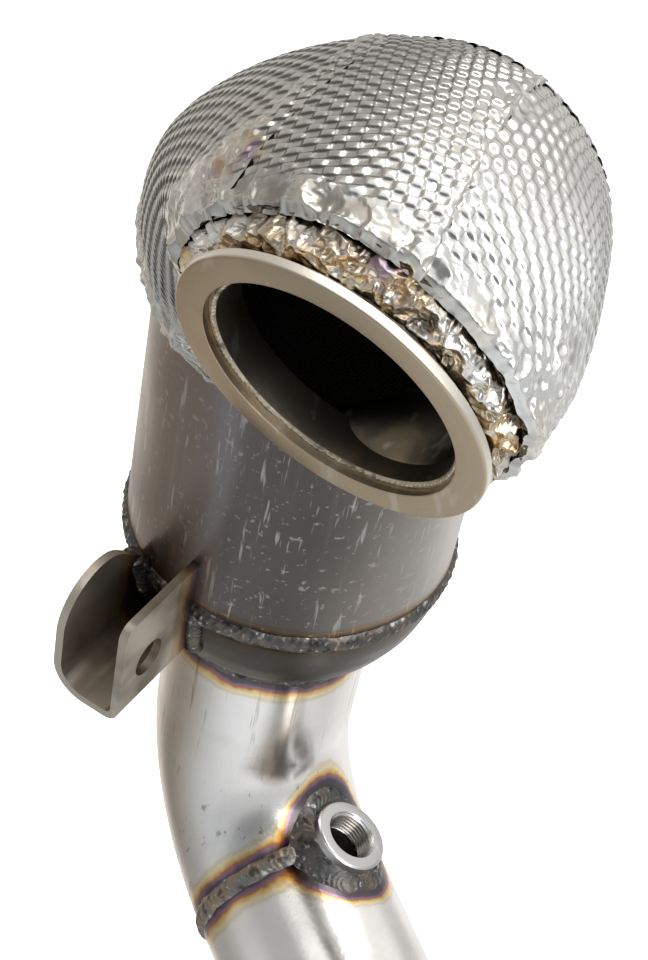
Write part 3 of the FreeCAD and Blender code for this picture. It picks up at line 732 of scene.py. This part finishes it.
# painted shade: the threaded bore darkens with depth
inside = bung.grey(bung.attribute("inside"), 0.0, 0.85)
BUNG = tinted(bung, bung.mix(inside, bung.colour, (0.12, 0.105, 0.085)))
bracket = steel("bracket_satin", (0.56, 0.51, 0.43), 0.42, (0.40, 0.31, 0.20), 0.3, (1, 0.1, 1))
bracket_colour = bracket.mix(bracket.grey(bracket.noise(38.0, 3.0), 0.0, 0.8, 0.5, 0.66), bracket.colour,
                             (0.16, 0.13, 0.10))
BRACKET = tinted(bracket, bracket_colour, ((0, -50, 0), (0, 1, 0), 0.016, 0.9))
plain = steel("mantle_steel", (0.40, 0.37, 0.33), 0.4, (0.30, 0.27, 0.23))
PLAIN = tinted(plain, plain.colour)


# ---------------------------------------------------------------- pieces: foil
def const(value):
    return lambda f: np.full_like(f, value)


def is_front(p):
    return p[..., 1] < 14.5


def is_rear(p):
    return p[..., 1] > 11.0         # laps under the front panels' edges


foil_panel("foil_rear", 190, 520, 0.0, 0.60, const(-88.0), const(268.0), 0.5, (0, 0), (0, 0), wear_rear,
           is_rear, "heat_shield_rear", raised=lambda p: 0.6 * (1 - smooth(p[..., 1], 14.0, 20.0)))
foil_panel("foil_left", 330, 290, 0.0, LIP_AT, left_seam, const(268.0), 0.25, (4.0, 0), (0, 0), wear_left,
           is_front, "heat_shield_left")
foil_panel("foil_right", 330, 290, 0.0, LIP_AT, const(-88.0), right_seam, 0.75, (0, 4.0), (0, 0), wear_right,
           is_front, "heat_shield_right")
foil_panel("foil_centre", 300, 170, 0.42, LIP_AT, right_seam, left_seam, 0.5, (2.0, 2.0), (1, 1), wear_centre,
           is_front, "heat_shield_centre", rotate=-0.30)


def collar():
    """Crumpled band between the panels' lip and the back of the flange."""
    rows, cols = 70, 900
    phi = np.linspace(-180, 180, cols, endpoint=False)[None]
    t = np.linspace(0, 1, rows)[:, None]
    lip = np.full((1, cols), LIP_AT - 0.004)
    outer = skin(lip, phi) - 1.2 * skin_normal(lip, phi)
    depth = (outer - FACE_CENTRE) @ INTO
    flat = outer - FACE_CENTRE - depth[..., None] * INTO
    radius = np.linalg.norm(flat, axis=-1, keepdims=True)
    inner = FACE_CENTRE + flat / radius * (FLANGE_BACK_R - 0.6) + INTO * (FLANGE_DEPTH + 0.7)
    p = outer[0][None] * (1 - t[..., None]) + inner[0][None] * t[..., None]
    n = -INTO * 0.8 + (flat / radius)[0][None] * 0.6
    n = n / np.linalg.norm(n, axis=-1, keepdims=True)
    swell = 1.6 * np.sin(np.pi * t) - 1.6 * np.exp(-((t - 0.12) / 0.10) ** 2)
    h = (2.5 * (creases(p, 6.5, 31) - 0.5) + 1.5 * (creases(p, 3.0, 32) - 0.5)
         + 0.4 * (creases(p, 1.4, 33) - 0.5) + 0.16 * noise(p, 1.2, 34))
    h = h * (0.35 + 0.65 * np.sin(np.pi * np.clip(t, 0.02, 0.98)) ** 0.5) + swell
    q = p + n * h[..., None]
    obj = mesh("foil_collar", q, grid_faces(rows, cols, False, True, True), 180)
    # mask of painted shade in the trench under the lip
    tag(obj, "trench_shade", ((1 - smooth(t, 0.08, 0.5)) * (0.75 + 0.5 * noise(p, 6.0, 35))).reshape(-1))
    tag(obj, "height", h.reshape(-1))
    finish_piece(obj, COLLAR, "heat_shield_collar")


def hem():
    """Folded lower edge of the foil, turned down round the can."""
    rows, cols = 26, 900
    phi = np.linspace(-180, 180, cols, endpoint=False)[None]
    t = np.linspace(0, 1, rows)[:, None]
    top = skin(np.zeros((1, cols)), phi)[0][None]
    out = top * [1, 1, 0]
    gap = np.linalg.norm(out, axis=-1, keepdims=True)
    out = out / gap
    inward = np.maximum(gap - CAN_R - 1.0, 0.6)
    drop = t[..., None] * HEM_DROP
    p = top - UP * drop - out * inward * smooth(t, 0.45, 1.0)[..., None] * 0.9
    h = 0.7 * (creases(p, 5.0, 41) - 0.5) + 0.45 * (creases(p, 2.4, 42) - 0.5)
    q = p + out * (h * (1 - 0.6 * t) - 0.3)[..., None]
    obj = mesh("foil_hem", q, grid_faces(rows, cols, False, True), 180)
    tag(obj, "height", h.reshape(-1))
    tag(obj, "crumple", np.ones(rows * cols))
    # no painted groove shade on the hem
    tag(obj, "groove_shade", np.zeros(rows * cols))
    finish_piece(obj, FOIL, "heat_shield_hem")


collar()
hem()

# ---------------------------------------------------------------- pieces: inlet
flange_profile = rounded([(REGISTER_R, 0), (FLANGE_R - 0.5, 0), (FLANGE_R, 0.5), (FLANGE_R, RIM_WIDTH),
                          (FLANGE_BACK_R, FLANGE_DEPTH), (NECK_R, FLANGE_DEPTH), (NECK_R, REGISTER_DEPTH),
                          (REGISTER_R, REGISTER_DEPTH)], 0.28)
finish_piece(lathe("flange_turned", flange_profile, FACE_CENTRE, INTO, 512), FLANGE,
             "inlet_flange")


def lip_bead():
    """Weld inside the register, between the neck tube's end and the flange."""
    segments, t = 1100, np.linspace(-1, 1, 13)[None]
    a = np.linspace(0, 2 * np.pi, segments, endpoint=False)[:, None]
    side, up, along = frame_of(INTO)
    ring = np.cos(a)[..., None] * side + np.sin(a)[..., None] * up
    at = FACE_CENTRE + ring * 37.0
    rough = 0.25 * noise(at, 1.6, 60) + 0.2 * noise(at, 5.0, 61)
    h = (1 - np.abs(t) ** 2.2) * (0.75 + rough + 0.12 * np.cos(a * 37.0 * np.pi / 0.9 + 1.5 * t**2))
    r = 36.95 + 0.85 * t + 0.12 * noise(at, 3.0, 62)
    depth = REGISTER_DEPTH + 0.25 - h
    p = FACE_CENTRE + ring * r[..., None] + along * depth[..., None]
    return mesh("lip_bead", p, grid_faces(segments, 13, True, False, True), 60)


finish_piece(lip_bead(), WELD_BRIGHT, "inlet_lip_weld")
neck_outer = NECK_R - 0.1
neck_profile = rounded([(NECK_BORE_R, REGISTER_DEPTH + 0.3), (neck_outer, REGISTER_DEPTH + 0.3),
                        (neck_outer, NECK_END), (NECK_BORE_R, NECK_END)], 0.25)
finish_piece(lathe("neck_drawn", neck_profile, FACE_CENTRE, INTO, 256), NECK,
             "inlet_neck_tube")
weld_ring("neck_bead", "neck_weld", 38.8, FACE_CENTRE + INTO * 6.5, INTO, 2.2, 1.3, 1.8, 500, 25)

# ---------------------------------------------------------------- pieces: can, cone, pipes
def can_waves(a, r, h):
    return 0.10 * np.sin(3 * a + 1.0) * np.sin(h / 30.0) + 0.06 * np.sin(7 * a + h / 25.0)


heights = np.concatenate([[0.0], np.linspace(0.4, CAN_TOP - 0.4, 24), [CAN_TOP]])
can_rings = [(CAN_R - (0.4 if h in (0.0, CAN_TOP) else 0), h) for h in heights]
can_rings += [(CAN_R - CAN_WALL, h) for h in heights[::-1]]
finish_piece(lathe("can_rolled", can_rings, np.zeros(3), UP, 360, can_waves), CAN,
             "catalyst_can")

cone_outer = np.array(CONE_PROFILE)
dense = np.linspace(0, len(cone_outer) - 1, 60)
cone_r = np.interp(dense, np.arange(len(cone_outer)), cone_outer[:, 0])
cone_d = np.interp(dense, np.arange(len(cone_outer)), cone_outer[:, 1])
kernel = np.array([1, 2, 3, 2, 1]) / 9.0
cone_r[2:-2], cone_d[2:-2] = np.convolve(cone_r, kernel, "valid"), np.convolve(cone_d, kernel, "valid")
cone_rings = [(r, -d) for r, d in zip(cone_r, cone_d)]
cone_rings += [(r - PIPE_WALL, d) for r, d in cone_rings[::-1]]
finish_piece(lathe("cone_spun", cone_rings, np.zeros(3), UP, 300), CONE, "outlet_cone")

# ---------------------------------------------------------------- pieces: welds
weld_ring("bead_can_cone", "cone_can_weld", CAN_R - 0.25, (0, 0, -1.6), -UP, 7.8, 2.0, 2.9, 1100, 21, 0.45)
weld_ring("bead_cone_pipe", "cone_pipe_weld", PIPE_R, (0, 0, -CONE_DROP), -UP, 6.4, 1.5, 2.4, 800, 22, 0.5)
weld_ring("bead_joint", "joint_weld", PIPE_R, JOINT, TAIL, 7.6, 1.3, 2.2, 900, 23, 0.45, (BUNG_FOOT, 13.6),
          WELD_PIPE)
weld_ring("bead_can_top", "can_inlet_weld", CAN_R, (0, 0, CAN_TOP - 2.0), UP, 3.0, 0.8, 1.9, 700, 24)


# ---------------------------------------------------------------- pieces: bung
def bung_solid():
    """Turned boss with a real M18 x 1.5 thread cut as a helix inside."""
    segments, pitch, top = 180, 1.5, BUNG_FACE
    a = np.linspace(0, 2 * np.pi, segments, endpoint=False)[:, None]
    depths = np.arange(0, top - BUNG_BASE - 0.3, 0.125)[None]
    turn = (depths + pitch * a / (2 * np.pi)) / pitch
    tooth = 1 - np.abs(2 * (turn - np.floor(turn)) - 1)
    thread = BUNG_MINOR_R + 0.75 * np.clip(1.25 * tooth - 0.12, 0, 1)
    chamfer = BUNG_MOUTH_R - depths
    bore = np.maximum(thread, chamfer)
    outer = np.array([(BUNG_MOUTH_R + 0.15, top), (BUNG_R - 1.1, top), (BUNG_R - 0.55, top - 0.18),
                      (BUNG_R, top - 0.8), (BUNG_R, BUNG_BASE + 0.3), (BUNG_R - 0.3, BUNG_BASE),
                      (BUNG_MINOR_R + 0.2, BUNG_BASE)])
    r = np.concatenate([np.broadcast_to(outer[None, :, 0], (segments, len(outer))), bore[:, ::-1]], 1)
    h = np.concatenate([np.broadcast_to(outer[None, :, 1], (segments, len(outer))),
                        np.broadcast_to(top - depths[:, ::-1], bore.shape)], 1)
    side, up, along = frame_of(BUNG_AXIS)
    ring = np.cos(a)[..., None] * side + np.sin(a)[..., None] * up
    p = BUNG_ROOT + r[..., None] * ring + h[..., None] * along
    obj = mesh("bung_threaded", p, grid_faces(segments, r.shape[1], True, True, True), 32)
    # mask of painted shade, rising with depth into the bore
    tag(obj, "inside", np.concatenate([np.zeros((segments, len(outer))), np.broadcast_to(
        smooth(depths[:, ::-1], 0.8, 2.0), bore.shape)], 1).reshape(-1))
    return obj


def pipe_gap(p):
    """Distance of points from the outside of the bent and straight pipes."""
    along = (p - JOINT) @ TAIL
    straight = np.linalg.norm(p - JOINT - along[..., None] * TAIL, axis=-1)
    q = p - BEND_CENTRE
    swing = np.hypot(q @ HEADING, q @ UP) - BEND_R
    bent = np.hypot(swing, q @ np.cross(HEADING, UP))
    return np.where(along > 0, straight, bent) - PIPE_R


def bung_pad():
    """Wide weld pad that fairs the boss into the bent and straight pipes."""
    segments, rows = 420, 30
    a = np.linspace(0, 2 * np.pi, segments, endpoint=False)[:, None]
    t = np.linspace(0, 1, rows)[None]
    across = np.cross(TAIL, BUNG_AXIS)
    ring = np.cos(a)[..., None] * TAIL + np.sin(a)[..., None] * across
    edge = 20.2 + 0.9 * noise(ring * 20, 7.0, 71) + 0.4 * noise(ring * 20, 2.5, 72)
    r = BUNG_R - 0.1 + (edge - BUNG_R) * t
    on_pipe = np.full_like(r * a, 60.0)
    for _ in range(40):
        on_pipe = on_pipe - 0.8 * pipe_gap(BUNG_ROOT + ring * r[..., None] + BUNG_AXIS * on_pipe[..., None])
    crest = 37.6 + 0.35 * noise(ring * 20, 5.0, 73)
    rise = np.maximum(crest - on_pipe[:, :1], 0.9) * (1 - t) ** 1.25
    wave = (a * 17 + 1.6 * (t - 0.5) ** 2 * 8 + 1.2 * noise(ring * 20 + t[..., None] * 3, 5.0, 76)) / 2.1
    ripple = 0.20 * np.abs(2 * (wave - np.floor(wave)) - 1) ** 1.3 * np.sin(np.pi * np.clip(t, 0, 1)) ** 0.6
    at = ring * r[..., None]
    height = on_pipe + rise + ripple + 0.3 * np.sin(np.pi * t) * (1 + noise(at, 4.0, 74)) - 0.5 * t**8
    p = BUNG_ROOT + ring * r[..., None] + BUNG_AXIS * height[..., None]
    return mesh("bung_pad", p, grid_faces(segments, rows, True, False), 60)


finish_piece(bung_solid(), BUNG, "sensor_bung")
finish_piece(bung_pad(), WELD_DARK, "sensor_bung_weld")


# ---------------------------------------------------------------- pieces: from CAD meshes
def cad_copy(node, name):
    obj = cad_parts[node].copy()
    obj.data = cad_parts[node].data.copy()
    for key in list(obj.keys()):
        del obj[key]
    obj.parent = None
    obj.name = obj.data.name = name
    bpy.context.scene.collection.objects.link(obj)
    return obj


def trimmed_mat(name, end):
    """The front mat, cut off square where the foil's lip rolls in."""
    obj = cad_copy("insulation_mat_front", name)
    b = bmesh.new()
    b.from_mesh(obj.data)
    flow = (0, -math.sin(SWING * end), math.cos(SWING * end))
    cut = bmesh.ops.bisect_plane(b, geom=b.verts[:] + b.edges[:] + b.faces[:], dist=1e-6,
                                 plane_co=tuple((HINGE - FACE_CENTRE) * MM), plane_no=flow, clear_outer=True)
    bmesh.ops.holes_fill(b, edges=[e for e in cut["geom_cut"] if isinstance(e, bmesh.types.BMEdge)])
    b.to_mesh(obj.data)
    b.free()
    return obj


def bevelled_copy(node, name, width):
    """A copy of a CAD node with its edges broken."""
    obj = cad_copy(node, name)
    b = bmesh.new()
    b.from_mesh(obj.data)
    bmesh.ops.remove_doubles(b, verts=b.verts, dist=1e-6)
    bmesh.ops.dissolve_limit(b, angle_limit=math.radians(0.4), verts=b.verts, edges=b.edges)
    b.to_mesh(obj.data)
    b.free()
    bevel = obj.modifiers.new("bevel", "BEVEL")
    bevel.width, bevel.segments, bevel.limit_method, bevel.angle_limit = width, 3, "ANGLE", math.radians(40)
    bevel.harden_normals = False
    obj.data.shade_smooth()
    obj.data.set_sharp_from_angle(angle=math.radians(40))
    return obj


finish_piece(bevelled_copy("mounting_bracket", "bracket_folded", 0.0005), BRACKET,
             "mounting_bracket")
finish_piece(trimmed_mat("fibre_front", 0.925), FIBRE, "insulation_mat_front")


def wall_radius(z):
    depths = [d for _, d in CONE_PROFILE]
    return np.where(z > 0, CAN_R, np.interp(-z, depths, [r for r, _ in CONE_PROFILE]))


def ear_run(name, x, radius, z0, z1, seed, node, reach=0.0):
    z = np.linspace(z1, z0, 14)
    r = wall_radius(z)
    path = np.stack([x + 0 * z, -np.sqrt(r**2 - x**2) + 0.3 - reach * ((z - z0) / (z1 - z0)) ** 2, z], 1)
    out = np.stack([x / r, -np.sqrt(1 - (x / r) ** 2), 0 * z], 1)
    finish_piece(weld_run(name, path, out, radius, seed), WELD_DARK, node)


ear_run("bead_ear_back", -25.6, 4.6, -17.0, 7.5, 81, "bracket_weld_back", 7.0)
ear_run("bead_ear_front", -0.8, 3.4, -23.0, -1.0, 82, "bracket_weld_front")

# ---------------------------------------------------------------- CAD nodes that keep their shape
KEPT = ((SMOKED, "inlet_steel", ("dome_front_shell", "dome_rear_shell")),
        (WELD_DARK, "weld_steel", ("dome_seam_weld",)),
        (BRICK, "brick_foil", ("catalyst_brick",)),
        (PLAIN, "inlet_steel", ("brick_mantle", "brick_ring_lower", "brick_ring_upper")),
        (FIBRE, "insulation", ("insulation_mat_rear",)),
        (PIPE, "pipe_steel", ("upper_pipe",)),
        (LOWER, "pipe_steel", ("lower_pipe",)))
for material, slot_name, nodes in KEPT:
    for node in nodes:
        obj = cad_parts[node]
        obj.data.materials.clear()
        obj.data.materials.append(material)
        obj.data.shade_smooth()
        obj.data.set_sharp_from_angle(angle=math.radians(35))

# ---------------------------------------------------------------- stage, light and camera
def floor_card(height, size):
    """Pale floor, lit a little from itself, that the metal doesn't mirror."""
    white = Nodes("table_white", 0.0, 0.8, (0.9, 0.9, 0.9))
    white.shader.inputs["Emission Color"].default_value = (1, 1, 1, 1)
    white.shader.inputs["Emission Strength"].default_value = 0.9
    data = bpy.data.meshes.new("floor")
    w = size / 2
    data.from_pydata([(-w, -w, 0), (w, -w, 0), (w, w, 0), (-w, w, 0)], [], [(0, 1, 2, 3)])
    obj = bpy.data.objects.new("floor", data)
    bpy.context.scene.collection.objects.link(obj)
    obj.location = (0, 0.6, height)
    data.materials.append(white.m)
    obj.visible_glossy = False


def softbox(name, position, target, size, power):
    light = bpy.data.lights.new(name, "AREA")
    light.shape, light.size, light.size_y, light.energy = "RECTANGLE", size[0], size[1], power
    obj = bpy.data.objects.new(name, light)
    bpy.context.scene.collection.objects.link(obj)
    obj.location = position
    obj.rotation_euler = (Vector(target) - Vector(position)).to_track_quat("-Z", "Y").to_euler()


floor_card(-1.0, 14.0)

TOWARDS, SIDEWAYS = (0.411, -0.911, 0.0), (0.911, 0.411, 0.0)   # level directions to the camera and its right
# brightness of the studio round the object: angle from the camera's direction (degrees) and level
LOW_RING = [(-180, 1.30), (-140, 1.05), (-112, 0.32), (-85, 0.34), (-52, 0.62), (-30, 0.75), (-5, 0.90),
            (30, 0.95), (60, 0.85), (90, 0.60), (115, 0.85), (150, 1.20), (180, 1.30)]
HIGH_RING = [(-180, 0.80), (-120, 0.42), (-70, 0.55), (-30, 0.25), (10, 0.20), (40, 0.75), (70, 2.10),
             (115, 2.00), (150, 0.95), (180, 0.80)]


def studio_world():
    world = bpy.context.scene.world or bpy.data.worlds.new("world")
    bpy.context.scene.world = world
    world.use_nodes = True
    n = Tree(world.node_tree)
    way = n.nodes.new("ShaderNodeTexCoord").outputs["Generated"]

    def dot(axis):
        return n.vector("DOT_PRODUCT", way, axis)["Value"]

    turn = n.math("ARCTAN2", dot(SIDEWAYS), dot(TOWARDS))
    place = n.grey(turn, 0.0, 1.0, -math.pi, math.pi)
    rise = n.grey(dot((0, 0, 1)), 0.0, 1.0, -1.0, 1.0)
    low = n.ramp(place, *[((a + 180) / 360, (v, v, v)) for a, v in LOW_RING], interpolation="B_SPLINE")
    high = n.ramp(place, *[((a + 180) / 360, (v, v, v)) for a, v in HIGH_RING], interpolation="B_SPLINE")
    is_low = n.ramp(rise, *[((z + 1) / 2, (w, w, w)) for z, w in
                            ((-1.0, 0), (-0.94, 0), (-0.86, 1), (-0.40, 1), (-0.12, 0), (1.0, 0))])
    is_high = n.ramp(rise, *[((z + 1) / 2, (w, w, w)) for z, w in
                             ((-1.0, 0), (0.12, 0), (0.38, 1), (1.0, 1))])
    light = n.mix(is_high, n.mix(is_low, (0.62, 0.62, 0.62), low), high)
    zenith = n.ramp(rise, (0.0, (0, 0, 0)), (0.885, (0, 0, 0)), (0.94, (1, 1, 1)), (1.0, (1, 1, 1)))
    light = n.mix(zenith, light, (1.25, 1.25, 1.25))
    warm = n.ramp(place, (0.0, (1.0, 0.97, 0.93)), (0.22, (1.0, 0.93, 0.86)), (0.36, (0.93, 0.97, 1.0)),
                  (0.6, (1, 1, 1)), (1.0, (1.0, 0.98, 0.95)))
    n.links.new(n.mix(1.0, light, warm, "MULTIPLY"), n.nodes["Background"].inputs["Color"])
    n.nodes["Background"].inputs["Strength"].default_value = 1.0


studio_world()
MIDDLE = (0.0, 0.04, -0.12)
softbox("key_right", (1.1, -0.3, 0.9), MIDDLE, (0.7, 0.9), 8.0)
softbox("top", (0.0, 0.6, 1.3), MIDDLE, (1.0, 0.6), 8.0)

camera_data = bpy.data.cameras.new("camera")
camera_data.lens, camera_data.sensor_width = 75.0, 36.0
camera = bpy.data.objects.new("camera", camera_data)
bpy.context.scene.collection.objects.link(camera)
right, down, ahead = (Vector(v) for v in ((0.8294, 0.5371, 0.1539), (0.4738, -0.5302, -0.7033),
                                          (-0.2961, 0.6562, -0.6941)))
basis = Matrix((right, -down, -ahead)).transposed().to_4x4()
camera.matrix_world = Matrix.Translation((0.15755, -0.33924, 0.33121)) @ basis
camera_data.clip_start, camera_data.clip_end = 0.01, 50.0
bpy.context.scene.camera = camera
bpy.context.scene.view_settings.view_transform = "Standard"
